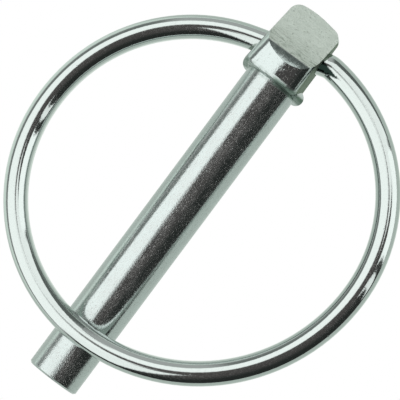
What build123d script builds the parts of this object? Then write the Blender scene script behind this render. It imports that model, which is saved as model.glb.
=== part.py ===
from build123d import *
from math import asin, atan2, cos, degrees, pi, radians, sin, sqrt, tan
import os

os.makedirs("parts", exist_ok=True)

# Millimetres. X runs along the shank to its tip, Y is the right side seen from the front with the
# head uppermost, and Z is the front, the side the ring closes over. X = 0 is where the plain shank
# begins under the head, so the head lies at negative X.

# Shank
pin_d = 8.0
shank_len = 51.95
tip_slant = 7.0
tip_edge = 0.25

# Forged head
head_len = 12.1
shoulder_drop = 0.35
crown_r = 14.0
crown_y = 0.2
crown_z = 4.7
back_z = -4.6
left_w = 5.42
left_lean = 8.0
left_taper = 6.5
right_w = 4.04
right_lean = 0.5
left_corner_r = 2.4
right_corner_r = 2.0
back_corner_r = 1.2
top_ridge_y = -0.8
top_left_fall = 6.0
top_right_fall = 9.5
top_ridge_r = 12.0
top_corner_r = 1.8
lip_r = 0.85

# Sheared end of the head and the roll-over left along its front edge
shear_tilt = 40.0
shear_h = 5.2
shear_z = 3.7
roll_r = 5.6
roll_end_tilt = 20.0

# Beads of flash left at both sides of the shoulder, fading towards the front
right_bead_r = 1.15
right_bead_y = 3.8
right_bead_h = 0.64
left_bead_r = 1.3
left_bead_y = -4.19
left_bead_h = 0.95
bead_z0 = -1.8
bead_z1 = 2.0
bead_fade = 0.35

# Ring hole, crossing the head at a slant
wire_d = 3.5
hinge_clearance = 0.05
hinge_h = 5.61
hinge_z = -1.2
hinge_slant = 15.5

# Ring: an oval of four arcs, closed by two end bends onto the hinge line
ring_r = 25.6
ring_oval = 0.52
oval_turn = 45.0
ring_side = -4.85
ring_past = 1.97
left_bend_ease = 2.54
right_bend_r = 2.6
stub_depth = 3.0
stub_chamfer = 0.3
ring_gap = 0.1

far = 60.0


def half_space(origin, normal):
    """Everything on the side of the plane its normal points to."""
    return Plane(origin=origin, z_dir=normal) * Box(
        far, far, far, align=(Align.CENTER, Align.CENTER, Align.MIN)
    )


def leaning_prism():
    """Prism along X with the crown, the flat back and both leaning cheeks, all corners sharp."""
    crown = Plane.YZ.offset(-far / 2) * Pos(crown_y, crown_z - crown_r) * Circle(crown_r)
    prism = extrude(crown, far / 2 - shoulder_drop)
    prism -= half_space((0, 0, back_z), (0, 0, -1))
    taper = tan(radians(left_taper))
    prism -= half_space((0, -left_w, 0), (-taper, -1, tan(radians(left_lean))))
    return prism - half_space((0, right_w, 0), (0, 1, tan(radians(right_lean))))


def make_long_block():
    """Head with its long corners and its lip rounded, before its end is shaped."""
    block = leaning_prism()
    block = round_long_edge(block, -1, True, left_corner_r)
    block = round_long_edge(block, 1, True, right_corner_r)
    block = round_long_edge(block, -1, False, back_corner_r)
    block = round_long_edge(block, 1, False, back_corner_r)
    lip = block.faces().sort_by(Axis.X)[-1].edges()
    return fillet(lip, lip_r)


def make_end_block():
    """Head with its bowed and sheared end, long corners still sharp."""
    block = leaning_prism()
    turn = radians(top_left_fall + top_right_fall) / 2
    ridge_x = -head_len - top_ridge_r * (1 / cos(turn) - 1)
    for side, fall in ((-1, top_left_fall), (1, top_right_fall)):
        fall = radians(fall)
        block -= half_space((ridge_x, top_ridge_y, 0), (-cos(fall), side * sin(fall), 0))
    block -= shear_cutter()
    block = round_upright(block, False, top_corner_r)
    return round_upright(block, True, top_ridge_r)


def round_upright(block, ridge, radius):
    """Round the ridge of the head's top, or both its corners with the cheeks."""
    picked = []
    for edge in block.edges():
        mid = edge.center()
        upright = abs(edge.tangent_at(0.5).Z) > 0.9
        if upright and mid.X < -head_len / 2 and (abs(mid.Y - top_ridge_y) < 0.5) == ridge:
            picked.append(edge)
    return fillet(picked, radius)


def round_long_edge(block, side, front, radius):
    """Round where one cheek meets the crown, or where it meets the back."""
    picked = []
    for edge in block.edges():
        mid = edge.center()
        along = abs(edge.tangent_at(0.5).X) > 0.9
        if along and mid.Y * side > 0 and (mid.Z > 0) == front:
            picked.append(edge)
    return fillet(picked, radius)


def shear_cutter():
    """Metal sheared off the front of the head's end, with the rolled front edge."""
    tilt = radians(shear_tilt)
    end = radians(roll_end_tilt)
    low = (-shear_h, shear_z)
    centre_x = low[0] + roll_r * sin(tilt)
    centre_z = low[1] - roll_r * cos(tilt)
    top_x = -head_len - 2.0
    drop = tan(tilt) * (low[0] - top_x)
    far_low = (top_x, low[1] - drop)
    half = (tilt + end) / 2
    mid = (centre_x - roll_r * sin(half), centre_z + roll_r * cos(half))
    front = (centre_x - roll_r * sin(end), centre_z + roll_r * cos(end))
    lead = (front[0] + 1.0 * cos(end), front[1] + 1.0 * sin(end))
    outside = crown_z + 2.0
    face = Plane.XZ * make_face(
        [
            Line(far_low, low),
            ThreePointArc(low, mid, front),
            Line(front, lead),
            Line(lead, (lead[0], outside)),
            Line((lead[0], outside), (top_x, outside)),
            Line((top_x, outside), far_low),
        ]
    )
    return extrude(face, far / 2, both=True)


def make_bead(radius, y, h):
    """One rounded bead of flash, standing along Z and thinner towards the front."""
    tall = bead_z1 - bead_z0
    thin = radius * bead_fade
    low = Align.MIN
    body = Cone(radius, thin, tall, align=(Align.CENTER, Align.CENTER, low))
    return Pos(-h, y, bead_z0) * (body + Sphere(radius))


def hinge_frame():
    """Plane through the hinge line: X along the hinge, Y towards the tip, Z to the front."""
    slant = radians(hinge_slant)
    along = (-sin(slant), cos(slant), 0)
    return Plane(origin=(-hinge_h, 0, hinge_z), x_dir=along, z_dir=(0, 0, -1))


def make_hole():
    """Bore for the ring, right through the head along the hinge line."""
    slant = radians(hinge_slant)
    line = Plane(origin=(-hinge_h, 0, hinge_z), z_dir=(-sin(slant), cos(slant), 0))
    return line * Cylinder(wire_d / 2 + hinge_clearance, far / 2)


def make_pin():
    """Shank and forged head in one solid."""
    head = make_long_block() & make_end_block()
    shank = Plane.YZ.offset(-shoulder_drop) * Circle(pin_d / 2)
    shank = extrude(shank, shank_len + shoulder_drop + pin_d)
    slant = radians(tip_slant)
    shank -= half_space((shank_len, 0, 0), (cos(slant), 0, sin(slant)))
    body = head + shank
    body += make_bead(right_bead_r, right_bead_y, right_bead_h)
    body += make_bead(left_bead_r, left_bead_y, left_bead_h)
    tip = body.edges().filter_by(GeomType.ELLIPSE).sort_by(Axis.X)[-1]
    body = chamfer(tip, tip_edge)
    return body - make_hole()


def oval_circles():
    """Radii and centres of the four arcs of the oval, in hinge-frame coordinates."""
    shift = 2 * ring_oval / (2 - sqrt(2))
    small = ring_r + ring_oval - shift
    large = ring_r - ring_oval + shift
    cu = ring_side
    cv = ring_r - ring_past
    major = radians(hinge_slant - oval_turn)
    du = shift * cos(major)
    dv = shift * sin(major)
    centres = {
        "right": (cu + du, cv + dv),
        "far": (cu + dv, cv - du),
        "left": (cu - du, cv - dv),
        "near": (cu - dv, cv + du),
    }
    return small, large, major, centres


def bend_centre(centre, radius, bend, side):
    """Centre of the bend that touches the hinge line and runs into the given arc."""
    reach = sqrt((radius - bend) ** 2 - (centre[1] - bend) ** 2)
    return centre[0] + side * reach, bend


def angle_from(centre, point):
    """Angle in radians at which a point is seen from a centre."""
    return atan2(point[1] - centre[1], point[0] - centre[0])


def arc(centre, radius, start, stop):
    """Arc about a centre between two angles in radians."""
    points = []
    for angle in (start, (start + stop) / 2, stop):
        points.append((centre[0] + radius * cos(angle), centre[1] + radius * sin(angle)))
    return ThreePointArc(*points)


def mouths():
    """Where the hinge line meets the left and right cheeks, measured along the hinge."""
    slant = radians(hinge_slant)
    taper = tan(radians(left_taper))
    left_y = -left_w + taper * hinge_h + tan(radians(left_lean)) * hinge_z
    right_y = right_w - tan(radians(right_lean)) * hinge_z
    return left_y / (cos(slant) - taper * sin(slant)), right_y / cos(slant)


def make_ring_wire():
    """Mid-line of the ring from the end in the right cheek round to the end in the left one."""
    small, large, major, centres = oval_circles()
    right_bend = bend_centre(centres["right"], small, right_bend_r, 1)
    left_bend_r = large - left_bend_ease
    left_bend = bend_centre(centres["near"], large, left_bend_r, -1)
    turn_r = angle_from(centres["right"], right_bend)
    turn_l = angle_from(centres["near"], left_bend) + 2 * pi
    joins = [major + pi / 4, major + 3 * pi / 4, major + 5 * pi / 4]
    left_mouth, right_mouth = mouths()
    return Wire(
        [
            Line((right_mouth - stub_depth, 0), (right_bend[0], 0)),
            arc(right_bend, right_bend_r, -pi / 2, turn_r),
            arc(centres["right"], small, turn_r, joins[0]),
            arc(centres["far"], large, joins[0], joins[1]),
            arc(centres["left"], small, joins[1], joins[2]),
            arc(centres["near"], large, joins[2], turn_l),
            arc(left_bend, left_bend_r, turn_l, 3 * pi / 2),
            Line((left_bend[0], 0), (left_mouth + stub_depth, 0)),
        ]
    )


def closing_angle():
    """Tilt about the hinge, in degrees, at which the ring stops just short of the shank."""
    small, large, major, centres = oval_circles()
    rise = pin_d / 2 + wire_d / 2 + ring_gap - hinge_z
    slope = tan(radians(hinge_slant))
    cu, cv = centres["far"]
    tilt = 0.0
    for step in range(6):
        lean = -slope * cos(tilt)
        half = (lean * cu + cv) / (1 + lean**2)
        rest = (cu**2 + cv**2 - large**2) / (1 + lean**2)
        reach = half + sqrt(half**2 - rest)
        tilt = asin(rise / reach)
    return degrees(tilt)


def make_ring():
    """Ring wire swept round its mid-line and closed over the front of the shank."""
    path = make_ring_wire()
    start = Plane(origin=path @ 0, z_dir=path % 0)
    ring = sweep(start * Circle(wire_d / 2), path)
    ends = [f.edges() for f in ring.faces().filter_by(GeomType.PLANE)]
    ring = chamfer([e for group in ends for e in group], stub_chamfer)
    return hinge_frame() * Rot(-closing_angle(), 0, 0) * ring


pin = make_pin()
ring = make_ring()
export_step(pin, "parts/pin.step")
export_step(ring, "parts/ring.step")
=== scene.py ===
from dataclasses import dataclass
from math import cos, pi, radians, sin
from types import SimpleNamespace

import bpy
from mathutils import Matrix, Vector


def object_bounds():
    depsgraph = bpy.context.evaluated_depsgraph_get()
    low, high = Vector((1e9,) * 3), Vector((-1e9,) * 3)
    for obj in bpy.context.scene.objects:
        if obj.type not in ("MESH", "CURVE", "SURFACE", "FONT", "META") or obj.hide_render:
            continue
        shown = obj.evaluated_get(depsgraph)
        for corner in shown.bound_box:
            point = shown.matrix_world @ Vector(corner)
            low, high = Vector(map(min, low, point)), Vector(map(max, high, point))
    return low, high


# Lengths are written in millimetres and become metres through MM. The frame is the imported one: X runs
# along the shank to its tip, Y is the right side, Z is the front, and the part lies on its back.
MM = 0.001

# Camera, matched to the photograph in a 400 by 400 picture
LENS_MM = 145.33
SENSOR_MM = 36.0
CAMERA_AT = Vector((11.285, 25.601, 227.083)) * MM
CAMERA_AIM = Vector((19.039, 1.734, 0.0)) * MM
CAMERA_UP = Vector((-0.8015, -0.5970, 0.0354))

# Floor
FLOOR_SIZE = 600.0 * MM
FLOOR_DROP = 0.02 * MM
FLOOR_TINT = (0.92, 1.0, 0.94, 1.0)
FLOOR_GREY = (0.8, 0.8, 0.8, 1.0)

# How bright the floor is in reflections, and the painted pool of light added left of the ring, over this
# stretch of Y
FLOOR_GLOW = 0.82
LEFT_PAINTED_LIGHT = 0.36
LEFT_SPAN = (-22.0 * MM, -34.0 * MM)

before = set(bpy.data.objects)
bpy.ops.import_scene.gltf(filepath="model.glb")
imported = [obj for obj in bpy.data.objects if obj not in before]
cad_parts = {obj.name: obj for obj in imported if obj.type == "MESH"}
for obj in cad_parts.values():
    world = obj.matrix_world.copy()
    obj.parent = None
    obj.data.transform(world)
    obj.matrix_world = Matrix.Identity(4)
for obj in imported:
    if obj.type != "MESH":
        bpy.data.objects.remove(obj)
CAD_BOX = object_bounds()
SCENE = bpy.context.scene
SCENE.view_settings.view_transform = "Standard"


class Nodes:
    """Small helper that adds shader nodes and joins them."""

    def __init__(self, tree):
        self.tree = tree
        tree.nodes.clear()

    def add(self, kind, **settings):
        node = self.tree.nodes.new(kind)
        for name, value in settings.items():
            setattr(node, name, value)
        return node

    def link(self, source, target):
        self.tree.links.new(source, target)

    def put(self, value, socket):
        """Join a socket, or write a plain number or colour on it."""
        if isinstance(value, bpy.types.NodeSocket):
            self.link(value, socket)
        else:
            socket.default_value = value

    def math(self, operation, a, b=0.0, c=0.0, clamp=False):
        node = self.add("ShaderNodeMath", operation=operation, use_clamp=clamp)
        for value, socket in zip((a, b, c), node.inputs):
            self.put(value, socket)
        return node.outputs[0]

    def smooth(self, value, low, high):
        """0 at low and 1 at high, with an eased step between."""
        node = self.add("ShaderNodeMapRange", interpolation_type="SMOOTHSTEP")
        self.put(value, node.inputs["Value"])
        node.inputs["From Min"].default_value = low
        node.inputs["From Max"].default_value = high
        return node.outputs["Result"]

    def times(self, first, *others):
        """Product of the values."""
        for other in others:
            first = self.math("MULTIPLY", first, other)
        return first

    def most(self, first, *others):
        """Greatest of the values."""
        for other in others:
            first = self.math("MAXIMUM", first, other)
        return first

    def scaled(self, value, gain, base=0.0, clamp=False):
        """The value times gain, plus base."""
        return self.math("MULTIPLY_ADD", value, gain, base, clamp)

    def mix(self, factor, a, b):
        node = self.add("ShaderNodeMix", data_type="RGBA")
        self.put(factor, node.inputs["Factor"])
        self.put(a, node.inputs["A"])
        self.put(b, node.inputs["B"])
        return node.outputs["Result"]

    def mix_shaders(self, factor, first, second):
        node = self.add("ShaderNodeMixShader")
        self.put(factor, node.inputs[0])
        self.link(first, node.inputs[1])
        self.link(second, node.inputs[2])
        return node.outputs[0]

    def finish(self, shader):
        """Make the shader the material's surface."""
        output = self.add("ShaderNodeOutputMaterial")
        self.link(shader, output.inputs["Surface"])


@dataclass
class SoftLight:
    """A soft patch of light in the sky, with its angles in degrees."""

    compass: float  # its middle: 0 is the tip's side, 90 the right side
    half: float  # half its width
    top: float  # its top and bottom, as angles from straight up
    bottom: float
    strength: float
    side_blur: float = 6
    edge_blur: float = 8
    top_fall: float = 0  # how far its top and bottom fall per degree turned
    bottom_fall: float = 0
    lean: float = 0  # how far its sides turn per degree down


# Studio: the lights
SOFT_LIGHTS = [
    SoftLight(273, 69, 11.5, 66, 1.70, side_blur=8, top_fall=-0.08, bottom_fall=0.22),
    SoftLight(345, 20, 12, 74, 1.60, edge_blur=6, lean=-0.35),
    SoftLight(137, 18, 41, 89, 1.75, side_blur=2, edge_blur=3, lean=-0.28),
    SoftLight(108, 3.0, 34, 80, 1.45, side_blur=1, edge_blur=4, lean=-0.35),
    SoftLight(179, 20, 22, 60, 1.55, edge_blur=4, bottom_fall=-0.90),
]

# Studio: the dim walls below and between them
SOFT_WALLS = [
    SoftLight(270, 75, 62, 94, 0.26, side_blur=10),
    SoftLight(208, 12, 46, 94, 0.62, side_blur=12),
    SoftLight(178, 28, 40, 94, 0.15),
    SoftLight(270, 75, 82, 96, 0.50, side_blur=10, edge_blur=6),
]

# Where a leaning light has its own compass angle
LEAN_FROM = 67.0

# The sky between the lights, the glow round its top, and the white below the horizon
DARK_SKY = 0.038
ZENITH_GLOW = 0.055
ZENITH_SPAN = (56, 22)
HORIZON_SPAN = (90.0, 93.0)
DARK_TINT = (0.92, 1.0, 0.96, 1.0)
GLOW_TINT = (1.0, 0.89, 0.88, 1.0)
LIGHT_TINT = (1.0, 1.0, 1.0, 1.0)
LIGHT_TINT_SPAN = (0.2, 0.5)


def soft_patch(n, x, y, polar, light):
    """Brightness of one soft light in the sky, from the direction looked at."""
    turn = radians(light.compass)
    ahead = n.math("ADD", n.times(x, cos(turn)), n.times(y, sin(turn)))
    across = n.math("SUBTRACT", n.times(y, cos(turn)), n.times(x, sin(turn)))
    offset = n.times(n.math("ARCTAN2", across, ahead), 180 / pi)
    upright = n.scaled(n.math("SUBTRACT", polar, LEAN_FROM), -light.lean, offset)
    side = n.smooth(n.math("ABSOLUTE", upright), light.half + light.side_blur, light.half)
    blur = light.edge_blur / 2
    upper = n.smooth(n.scaled(offset, -light.top_fall, polar), light.top - blur, light.top + blur)
    lower = n.smooth(n.scaled(offset, -light.bottom_fall, polar), light.bottom + blur, light.bottom - blur)
    return n.times(side, upper, lower, light.strength)


def make_world():
    """Dark studio with soft lights to the left and above, seen only by reflection and by diffuse light."""
    world = bpy.data.worlds.new("studio")
    world.use_nodes = True
    SCENE.world = world
    n = Nodes(world.node_tree)
    coordinates = n.add("ShaderNodeTexCoord")
    split = n.add("ShaderNodeSeparateXYZ")
    n.link(coordinates.outputs["Generated"], split.inputs[0])
    x, y, z = split.outputs
    polar = n.times(n.math("ARCCOSINE", z), 180 / pi)
    glow = n.smooth(polar, *ZENITH_SPAN)
    patches = [soft_patch(n, x, y, polar, light) for light in SOFT_LIGHTS + SOFT_WALLS]
    sky = n.math("ADD", n.most(n.times(glow, ZENITH_GLOW), *patches), DARK_SKY)
    total = n.most(sky, n.smooth(polar, *HORIZON_SPAN))
    paths = n.add("ShaderNodeLightPath")
    background = n.add("ShaderNodeBackground")
    dark = n.mix(glow, DARK_TINT, GLOW_TINT)
    n.link(n.mix(n.smooth(total, *LIGHT_TINT_SPAN), dark, LIGHT_TINT), background.inputs["Color"])
    n.link(n.most(total, paths.outputs["Is Camera Ray"]), background.inputs["Strength"])
    output = n.add("ShaderNodeOutputWorld")
    n.link(background.outputs[0], output.inputs["Surface"])


def make_floor():
    """Pale floor under the part: white to the eye and in reflections, with a painted pool of light left of
    the ring, matt to the light.
    """
    half = FLOOR_SIZE / 2
    level = CAD_BOX[0][2] - FLOOR_DROP
    mesh = bpy.data.meshes.new("floor")
    corners = [(-half, -half, level), (half, -half, level), (half, half, level), (-half, half, level)]
    mesh.from_pydata(corners, [], [(0, 1, 2, 3)])
    floor = bpy.data.objects.new("floor", mesh)
    SCENE.collection.objects.link(floor)
    material = bpy.data.materials.new("floor_white")
    material.use_nodes = True
    n = Nodes(material.node_tree)
    position = n.add("ShaderNodeNewGeometry").outputs["Position"]
    split = n.add("ShaderNodeSeparateXYZ")
    n.link(position, split.inputs[0])
    # painted pool of light on the floor left of the ring, seen only in reflections
    glow = n.scaled(n.smooth(split.outputs["Y"], *LEFT_SPAN), LEFT_PAINTED_LIGHT, FLOOR_GLOW)
    paths = n.add("ShaderNodeLightPath").outputs
    mirrored = n.most(paths["Is Glossy Ray"], paths["Is Transmission Ray"])
    white = n.add("ShaderNodeEmission")
    white.inputs["Strength"].default_value = 1.0
    reflected = n.add("ShaderNodeEmission")
    reflected.inputs["Color"].default_value = FLOOR_TINT
    n.link(glow, reflected.inputs["Strength"])
    matt = n.add("ShaderNodeBsdfDiffuse")
    matt.inputs["Color"].default_value = FLOOR_GREY
    unseen = n.mix_shaders(mirrored, matt.outputs[0], reflected.outputs[0])
    n.finish(n.mix_shaders(paths["Is Camera Ray"], unseen, white.outputs[0]))
    mesh.materials.append(material)


def make_camera():
    """Camera at the photograph's viewing angle."""
    data = bpy.data.cameras.new("camera")
    data.lens = LENS_MM
    data.sensor_width = SENSOR_MM
    data.clip_start = 5.0 * MM
    data.clip_end = 5.0
    camera = bpy.data.objects.new("camera", data)
    SCENE.collection.objects.link(camera)
    back = (CAMERA_AT - CAMERA_AIM).normalized()
    right = CAMERA_UP.cross(back).normalized()
    up = back.cross(right)
    camera.matrix_world = Matrix(
        (
            (right.x, up.x, back.x, CAMERA_AT.x),
            (right.y, up.y, back.y, CAMERA_AT.y),
            (right.z, up.z, back.z, CAMERA_AT.z),
            (0.0, 0.0, 0.0, 1.0),
        )
    )
    SCENE.camera = camera


# Zinc plate: the drawn wire and a painted sheen where it faces sideways, the bar, the haze on both, the
# head's cheeks with painted shade, its sheared face, its rolled end with painted shade, and the dirt at
# the shoulder with painted shade
RING_ZINC = (0.47, 0.52, 0.50, 1.0)
# painted sheen: lighter where the wire faces sideways
RING_PAINTED_SHEEN = (0.80, 0.84, 0.82, 1.0)
PIN_ZINC = (0.46, 0.515, 0.50, 1.0)
HAZE_ZINC = (0.48, 0.485, 0.47, 1.0)
# painted shade on the cheeks, also the colour of the tear marks on the sheared face
CHEEK_SHADE_AND_MARK_ZINC = (0.27, 0.32, 0.265, 1.0)
SHEAR_ZINC = (0.66, 0.72, 0.665, 1.0)
# painted shade on the rolled end
ROLLED_END_SHADE = (0.36, 0.42, 0.40, 1.0)
# dirt along the shoulder, with painted shade in its corners and over its right half
SHOULDER_GRIME_AND_SHADE = (0.20, 0.27, 0.23, 1.0)
# painted shade where the ring leaves the head
RING_EXIT_SHADE = (0.012, 0.022, 0.018, 1.0)

# Tint of the plate seen at a glance, plain, and darker on the cheeks as painted shade
PLAIN_EDGE = (1.0, 1.0, 1.0, 1.0)
CHEEK_SHADE_EDGE = (0.48, 0.54, 0.47, 1.0)

# Painted shade on the ring where it leaves the head on the right: a dark wedge that narrows to a point
EXIT_SHADE_X = -6.2
EXIT_SHADE_START = (3.0, 3.6)
EXIT_SHADE_END = 7.4
EXIT_SHADE_TAPER = 0.23
EXIT_SHADE_BLUR = 0.12
EXIT_SHADE_RAGGED = 0.5

# The sheared face looks along this, in degrees
SHEAR_TILT = 40.0

# Regions of the pin by place: each mask goes from 0 at its first value to 1 at its second, in millimetres
HEAD_X = (-0.05, -0.65)
CROWN_X = (-1.1, -1.4)
BOW_X = (-1.1, -1.3)
ROLLED_X = (-6.8, -6.0)
LOW_SHEAR_X = (-8.5, -5.2)
SHOULDER_HEAD_X = (-1.3, -0.75)
SHOULDER_SHANK_X = (0.25, -0.1)
# painted shade at the shoulder: in its corners and over its right half
CORNER_Y = (3.7, 4.3)
RIGHT_Y = (-0.4, 0.8)
TIP_X = (44.0, 48.5)

# Regions by the way the surface faces: each mask goes likewise, over the cosine to its own direction
SHEAR_FACING = (0.9955, 0.9990)
# the rolled end, which gets painted shade
ROLLED_START = (0.80, 0.90)
ROLLED_STOP = (0.9985, 0.992)
# the cheeks, which get painted shade
RIGHT_CHEEK = (0.88, 0.97)
LEFT_CHEEK = (-0.90, -0.98)
LEFT_CHEEK_SHARE = 0.45
CROWN_FACING = (0.85, 0.93)
BOW_FACING = (0.945, 0.965)
SHANK_UPWARD = (0.86, 0.95)
RING_UPWARD = (0.84, 0.95)
# where the wire faces sideways, for its painted sheen
RING_SIDEWAYS = (0.45, 0.08)

# Extra rounding of the head's front in its shading, per millimetre, on both sides of this Y
CROWN_BOW = 0.07
CROWN_Y = 0.62
CROWN_UNEVEN = 1.6

# Depth of the relief that the light sees, in millimetres
RING_RELIEF = 0.004
PIN_RELIEF = 0.009
MATT_RELIEF = 0.05


def part_point(n):
    """The part's own coordinates in millimetres, whole and split, and its own normal split."""
    place = n.add("ShaderNodeTexCoord")
    point = n.add("ShaderNodeVectorMath", operation="SCALE")
    n.link(place.outputs["Object"], point.inputs[0])
    point.inputs["Scale"].default_value = 1.0 / MM
    spots = n.add("ShaderNodeSeparateXYZ")
    n.link(point.outputs[0], spots.inputs[0])
    facing = n.add("ShaderNodeSeparateXYZ")
    n.link(place.outputs["Normal"], facing.inputs[0])
    return point.outputs[0], spots.outputs, facing.outputs


def stretched(n, point, x=1.0, y=1.0, z=1.0):
    """The point with each axis scaled, to draw noise out along one of them."""
    node = n.add("ShaderNodeVectorMath", operation="MULTIPLY")
    n.link(point, node.inputs[0])
    node.inputs[1].default_value = (x, y, z)
    return node.outputs[0]


def noise(n, point, scale, detail=2.0, rough=0.5):
    """Noise about 0.5, with so many grains per millimetre."""
    node = n.add("ShaderNodeTexNoise")
    n.link(point, node.inputs["Vector"])
    node.inputs["Scale"].default_value = scale
    node.inputs["Detail"].default_value = detail
    node.inputs["Roughness"].default_value = rough
    return node.outputs["Fac"]


def pits(n, point, scale, size):
    """Small round pits: 1 inside, 0 outside."""
    node = n.add("ShaderNodeTexVoronoi")
    n.link(point, node.inputs["Vector"])
    node.inputs["Scale"].default_value = scale
    return n.smooth(node.outputs["Distance"], size, size * 0.3)


def bump(n, height, depth_mm, normal=None):
    """The normal of a surface with this relief, on the real surface or on a given normal."""
    node = n.add("ShaderNodeBump")
    if normal is not None:
        n.link(normal, node.inputs["Normal"])
    node.inputs["Strength"].default_value = 1.0
    node.inputs["Distance"].default_value = depth_mm * MM
    n.link(height, node.inputs["Height"])
    return node.outputs["Normal"]


def metal(n, colour, roughness, normal, edge=PLAIN_EDGE):
    """Bare metal."""
    shader = n.add("ShaderNodeBsdfPrincipled")
    n.put(colour, shader.inputs["Base Color"])
    n.put(roughness, shader.inputs["Roughness"])
    n.put(edge, shader.inputs["Specular Tint"])
    shader.inputs["Metallic"].default_value = 1.0
    n.link(normal, shader.inputs["Normal"])
    return shader.outputs[0]


def exit_shade(n, x, y, grain):
    """Mask of the painted shade on the ring: a dark wedge with a ragged edge."""
    width = n.times(n.math("SUBTRACT", EXIT_SHADE_END, y), EXIT_SHADE_TAPER)
    width = n.scaled(n.math("SUBTRACT", grain, 0.5), EXIT_SHADE_RAGGED, width)
    reach = n.math("ABSOLUTE", n.math("SUBTRACT", x, EXIT_SHADE_X))
    wedge = n.smooth(n.math("SUBTRACT", reach, width), EXIT_SHADE_BLUR, -EXIT_SHADE_BLUR)
    return n.times(wedge, n.smooth(y, *EXIT_SHADE_START))


def ring_material():
    """Bright smooth plate on drawn wire, with a little haze, a few nicks, a painted sheen where it faces
    sideways, and painted shade where it leaves the head.
    """
    material = bpy.data.materials.new("ring_zinc")
    material.use_nodes = True
    n = Nodes(material.node_tree)
    point, spots, facing = part_point(n)
    grain = noise(n, point, scale=2.6, detail=3.0, rough=0.6)
    broad = noise(n, point, scale=0.22)
    nicks = pits(n, point, scale=0.9, size=0.1)
    height = n.math("SUBTRACT", grain, n.times(nicks, 1.2))
    normal = bump(n, height, RING_RELIEF)

    haze = n.scaled(n.smooth(grain, 0.5, 0.75), gain=0.12, base=0.015)
    upward = n.smooth(facing[2], *RING_UPWARD)
    haze = n.scaled(upward, gain=n.scaled(grain, 0.14, -0.01), base=haze)
    # painted sheen: the wire coloured lighter where it faces sideways
    sideways = n.smooth(n.math("ABSOLUTE", facing[2]), *RING_SIDEWAYS)
    # painted shade: a dark wedge where the ring leaves the head
    wedge = exit_shade(n, spots[0], spots[1], grain)
    colour = n.mix(wedge, n.mix(sideways, RING_ZINC, RING_PAINTED_SHEEN), RING_EXIT_SHADE)
    bright = metal(n, colour, n.scaled(broad, gain=0.06, base=0.03), normal)
    soft = metal(n, n.mix(wedge, HAZE_ZINC, RING_EXIT_SHADE), 0.40, normal)
    n.finish(n.mix_shaders(haze, bright, soft))
    return material


def pin_regions(n, x, y, facing):
    """Masks of the pin's regions: 1 inside, 0 outside."""
    tilt = radians(SHEAR_TILT)
    toward_shear = n.scaled(facing[0], -sin(tilt), n.times(facing[2], cos(tilt)))
    head = n.smooth(x, *HEAD_X)
    left_cheek = n.times(n.smooth(facing[1], *LEFT_CHEEK), LEFT_CHEEK_SHARE)
    rolled = n.times(n.smooth(toward_shear, *ROLLED_STOP), n.smooth(toward_shear, *ROLLED_START))
    return SimpleNamespace(
        head=head,
        shear=n.times(n.smooth(toward_shear, *SHEAR_FACING), head),
        low_shear=n.smooth(x, *LOW_SHEAR_X),
        rolled=n.times(rolled, n.smooth(x, *ROLLED_X), head),
        cheek=n.times(n.most(n.smooth(facing[1], *RIGHT_CHEEK), left_cheek), head),
        crown=n.times(n.smooth(facing[2], *CROWN_FACING), n.smooth(x, *CROWN_X)),
        bow=n.times(n.smooth(facing[2], *BOW_FACING), n.smooth(x, *BOW_X)),
        shoulder=n.times(n.smooth(x, *SHOULDER_HEAD_X), n.smooth(x, *SHOULDER_SHANK_X)),
        # painted shade: the shoulder's corners and its right half
        corners=n.most(n.smooth(n.math("ABSOLUTE", y), *CORNER_Y), n.smooth(y, *RIGHT_Y)),
        tip=n.smooth(x, *TIP_X),
        upward=n.smooth(facing[2], *SHANK_UPWARD),
    )


def bowed_front(n, point, y, facing, on):
    """The surface normal, turned further outwards across the head's front, and not quite evenly."""
    uneven = n.scaled(n.math("SUBTRACT", noise(n, point, scale=0.7), 0.5), CROWN_UNEVEN, y)
    turn = n.times(n.math("SUBTRACT", uneven, CROWN_Y), CROWN_BOW)
    turned = n.add("ShaderNodeCombineXYZ")
    n.link(facing[0], turned.inputs["X"])
    n.link(n.scaled(turn, on.bow, facing[1]), turned.inputs["Y"])
    n.link(facing[2], turned.inputs["Z"])
    to_world = {"vector_type": "NORMAL", "convert_from": "OBJECT", "convert_to": "WORLD"}
    world = n.add("ShaderNodeVectorTransform", **to_world)
    n.link(turned.outputs[0], world.inputs[0])
    unit = n.add("ShaderNodeVectorMath", operation="NORMALIZE")
    n.link(world.outputs[0], unit.inputs[0])
    return unit.outputs[0]


def pin_relief(n, point, on, speckle):
    """Height of the plate: speckle, coarser at the tip, drawn lines, forged waves and a few pits."""
    lines = noise(n, stretched(n, point, x=0.05), scale=3.0, detail=3.0, rough=0.6)
    waves = n.times(noise(n, point, scale=0.9), n.times(on.head, 3.0))
    grain = n.times(speckle, n.scaled(on.tip, gain=1.4, base=1.0))
    height = n.scaled(lines, gain=0.6, base=n.math("ADD", grain, waves))
    return n.math("SUBTRACT", height, n.times(pits(n, point, scale=1.3, size=0.16), 1.1))


def sheared_colour(n, point, on, blotch):
    """Matt face with darker tear marks towards its lower edge, and a few dark spots."""
    marks = noise(n, stretched(n, point, y=0.16), scale=4.0, detail=3.0, rough=0.6)
    tears = n.times(n.smooth(marks, 0.50, 0.36), on.low_shear)
    spots = n.smooth(noise(n, point, scale=2.2, detail=3.0, rough=0.6), 0.40, 0.30)
    worn = n.scaled(n.smooth(blotch, 0.3, 0.7), gain=0.10, base=n.times(on.low_shear, 0.20))
    worn = n.scaled(n.most(tears, spots), gain=0.60, base=worn)
    return n.mix(worn, SHEAR_ZINC, CHEEK_SHADE_AND_MARK_ZINC)


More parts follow.
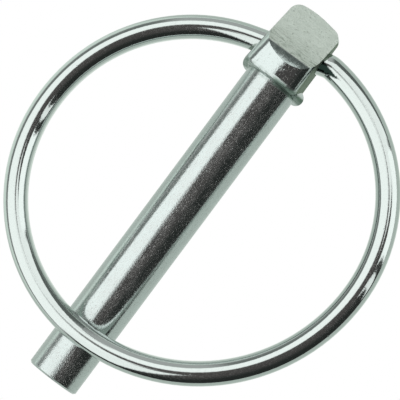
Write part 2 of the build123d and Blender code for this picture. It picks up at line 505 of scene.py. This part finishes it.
def pin_haze(n, point, on, speckle, cheek_shade_and_grime):
    """Share of the surface that is hazy: patches and specks on the bar, all of the sheared face."""
    patches = noise(n, stretched(n, point, x=0.4), scale=0.8)
    haze = n.scaled(n.smooth(patches, 0.35, 0.65), gain=0.10, base=0.02)
    upward = n.times(on.upward, n.scaled(on.tip, gain=-0.8, base=1.0))
    haze = n.scaled(upward, gain=n.scaled(patches, 0.16, -0.035), base=haze)
    haze = n.scaled(n.smooth(speckle, 0.52, 0.66), gain=0.50, base=haze, clamp=True)
    haze = n.times(haze, n.scaled(on.head, gain=-0.9, base=1.0))
    crown_specks = n.times(on.crown, n.times(n.smooth(speckle, 0.56, 0.66), 0.40))
    return n.most(haze, n.times(cheek_shade_and_grime, 0.6), crown_specks, on.shear)


def pin_material():
    """Plate over forged steel: drawn and speckled on the shank, matt on the sheared face, dull with
    painted shade on the cheeks, painted shade on the rolled end, and soiled along the shoulder with
    painted shade in its corners and on its right."""
    material = bpy.data.materials.new("pin_zinc")
    material.use_nodes = True
    n = Nodes(material.node_tree)
    point, spots, facing = part_point(n)
    on = pin_regions(n, spots[0], spots[1], facing)
    blotch = noise(n, point, scale=1.1, detail=3.0, rough=0.6)
    speckle = noise(n, stretched(n, point, x=0.6), scale=5.5, detail=3.0, rough=0.7)
    # blotchy dirt, with painted shade in the shoulder's corners and on its right half
    dirt_and_corner_shade = n.most(n.times(n.smooth(blotch, 0.30, 0.75), 0.7), on.corners)
    shoulder_grime_and_shade = n.times(on.shoulder, dirt_and_corner_shade)
    # mask of the cheeks' painted shade and of the shoulder's dirt and painted shade
    cheek_shade_and_grime = n.most(on.cheek, shoulder_grime_and_shade)
    # matt on the sheared face, and where the cheeks and shoulder carry painted shade
    matt = n.most(on.shear, cheek_shade_and_grime)

    # painted shade: the cheeks coloured darker where they face sideways
    colour = n.mix(on.cheek, PIN_ZINC, CHEEK_SHADE_AND_MARK_ZINC)
    # painted shade: the rolled end coloured darker
    colour = n.mix(on.rolled, colour, ROLLED_END_SHADE)
    colour = n.mix(on.shear, colour, sheared_colour(n, point, on, blotch))
    # dirt at the shoulder, with painted shade in its corners and on its right half
    colour = n.mix(shoulder_grime_and_shade, colour, SHOULDER_GRIME_AND_SHADE)
    # painted shade: a darker tint at a glance on the cheeks
    edge = n.mix(on.cheek, PLAIN_EDGE, CHEEK_SHADE_EDGE)

    height = pin_relief(n, point, on, speckle)
    smooth_normal = bump(n, height, PIN_RELIEF, bowed_front(n, point, spots[1], facing, on))
    fresh = n.scaled(cheek_shade_and_grime, gain=0.2, base=n.scaled(speckle, gain=0.10, base=0.05))
    bright = metal(n, colour, fresh, smooth_normal, edge)
    dull = n.scaled(matt, gain=0.20, base=0.42)
    soft = metal(n, n.mix(matt, HAZE_ZINC, colour), dull, bump(n, height, MATT_RELIEF), edge)
    n.finish(n.mix_shaders(pin_haze(n, point, on, speckle, cheek_shade_and_grime), bright, soft))
    return material


def dress(node, material):
    """Give a CAD node a better material."""
    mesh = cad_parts[node].data
    if mesh.materials:
        mesh.materials[0] = material
    else:
        mesh.materials.append(material)


make_world()
make_floor()
make_camera()
dress("ring", ring_material())
dress("pin", pin_material())
